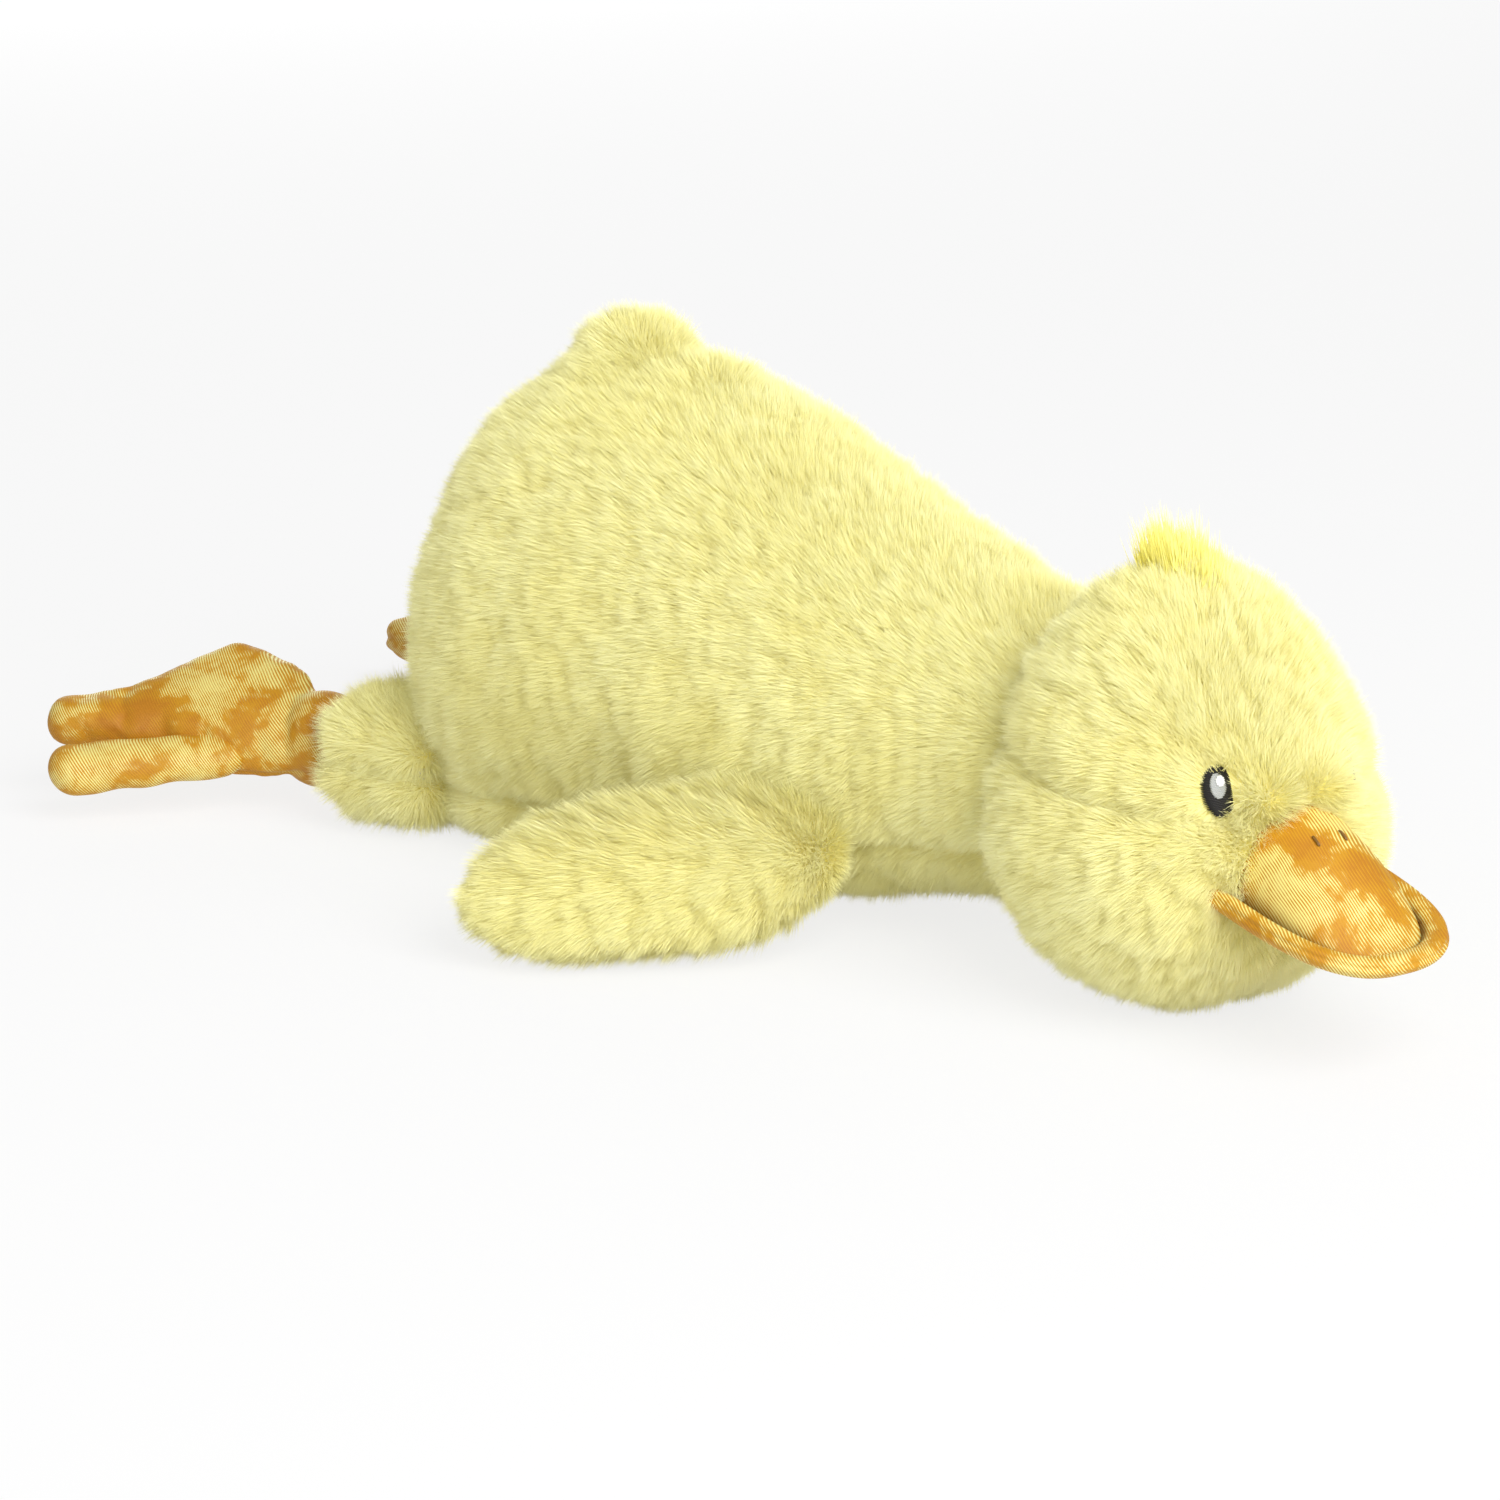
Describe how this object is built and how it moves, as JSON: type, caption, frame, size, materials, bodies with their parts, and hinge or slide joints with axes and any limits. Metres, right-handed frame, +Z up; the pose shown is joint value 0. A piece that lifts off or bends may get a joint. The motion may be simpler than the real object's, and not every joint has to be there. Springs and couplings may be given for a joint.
{
  "type": "stuffed duck",
  "caption": "Pale yellow plush duck lying on its belly, with a crushed velvet bill and webbed feet, spread wings and a turned head.",
  "frame": {"origin": "under the middle of the whole toy, on the surface it lies on", "axes": "+X from the tail to the bill along the trunk, +Y to the duck's left, +Z up"},
  "size_m": [0.4662, 0.2678, 0.1565],
  "materials": {
    "plush": "dense pale yellow faux fur, pile about 10 mm",
    "tuft": "long bright yellow pile",
    "velvet": "orange-gold crushed velvet with bright patches",
    "filling": "loose white polyester fibre",
    "black_thread": "satin-stitched black thread",
    "grey_thread": "satin-stitched light grey thread",
    "white_thread": "satin-stitched white thread",
    "brown_thread": "brown thread"
  },
  "bodies": {
    "trunk": {"right_side_panel": "plush", "left_side_panel": "plush", "belly_panel": "plush", "trunk_filling": "filling"},
    "neck": {"neck": "plush"},
    "head": {"right_crown_panel": "plush", "left_crown_panel": "plush", "right_cheek_panel": "plush", "left_cheek_panel": "plush", "head_filling": "filling", "right_eye": "black_thread", "left_eye": "black_thread", "right_eye_highlight": "grey_thread", "left_eye_highlight": "grey_thread", "right_eye_glint": "white_thread", "left_eye_glint": "white_thread", "upper_bill": "velvet", "lower_bill": "velvet", "bill_filling": "filling", "right_nostril": "brown_thread", "left_nostril": "brown_thread", "tuft": "tuft"},
    "right_wing": {"right_wing_top": "plush", "right_wing_under": "plush", "right_wing_filling": "filling"},
    "left_wing": {"left_wing_top": "plush", "left_wing_under": "plush", "left_wing_filling": "filling"},
    "right_leg": {"right_cuff_top": "plush", "right_cuff_under": "plush", "right_cuff_filling": "filling"},
    "left_leg": {"left_cuff_top": "plush", "left_cuff_under": "plush", "left_cuff_filling": "filling"},
    "right_foot": {"right_foot_top": "velvet", "right_foot_sole": "velvet", "right_foot_filling": "filling"},
    "left_foot": {"left_foot_top": "velvet", "left_foot_sole": "velvet", "left_foot_filling": "filling"}
  },
  "joints": [
    {"name": "head_turn", "type": "hinge", "parent": "trunk", "child": "neck", "pos_m": [0.09183, 0, 0.057], "axis": [0, 0, 1], "range_deg": [-5, 28], "stiffness_Nm_per_rad": 0.3},
    {"name": "head_nod", "type": "hinge", "parent": "neck", "child": "head", "pos_m": [0.09183, 0, 0.057], "axis": [-0.225, -0.9744, 0], "range_deg": [-12, 15], "stiffness_Nm_per_rad": 0.5},
    {"name": "right_wing_lift", "type": "hinge", "parent": "trunk", "child": "right_wing", "pos_m": [0.03389, -0.056, 0.05], "axis": [-0.9682, -0.2501, 0], "range_deg": [0, 60], "stiffness_Nm_per_rad": 0.1},
    {"name": "left_wing_lift", "type": "hinge", "parent": "trunk", "child": "left_wing", "pos_m": [0.03389, 0.056, 0.05], "axis": [0.9682, -0.2501, 0], "range_deg": [0, 60], "stiffness_Nm_per_rad": 0.1},
    {"name": "right_leg_lift", "type": "hinge", "parent": "trunk", "child": "right_leg", "pos_m": [-0.12311, -0.046, 0.044], "axis": [0, 1, 0], "range_deg": [0, 30], "stiffness_Nm_per_rad": 0.3},
    {"name": "left_leg_lift", "type": "hinge", "parent": "trunk", "child": "left_leg", "pos_m": [-0.12311, 0.046, 0.044], "axis": [0, 1, 0], "range_deg": [0, 30], "stiffness_Nm_per_rad": 0.3},
    {"name": "right_foot_bend", "type": "hinge", "parent": "right_leg", "child": "right_foot", "pos_m": [-0.14949, -0.05618, 0.0215], "axis": [-0.2079, 0.9781, 0], "range_deg": [-15, 15], "stiffness_Nm_per_rad": 0.2},
    {"name": "left_foot_bend", "type": "hinge", "parent": "left_leg", "child": "left_foot", "pos_m": [-0.14949, 0.05618, 0.0215], "axis": [0.2079, 0.9781, 0], "range_deg": [-15, 15], "stiffness_Nm_per_rad": 0.2}
  ]
}
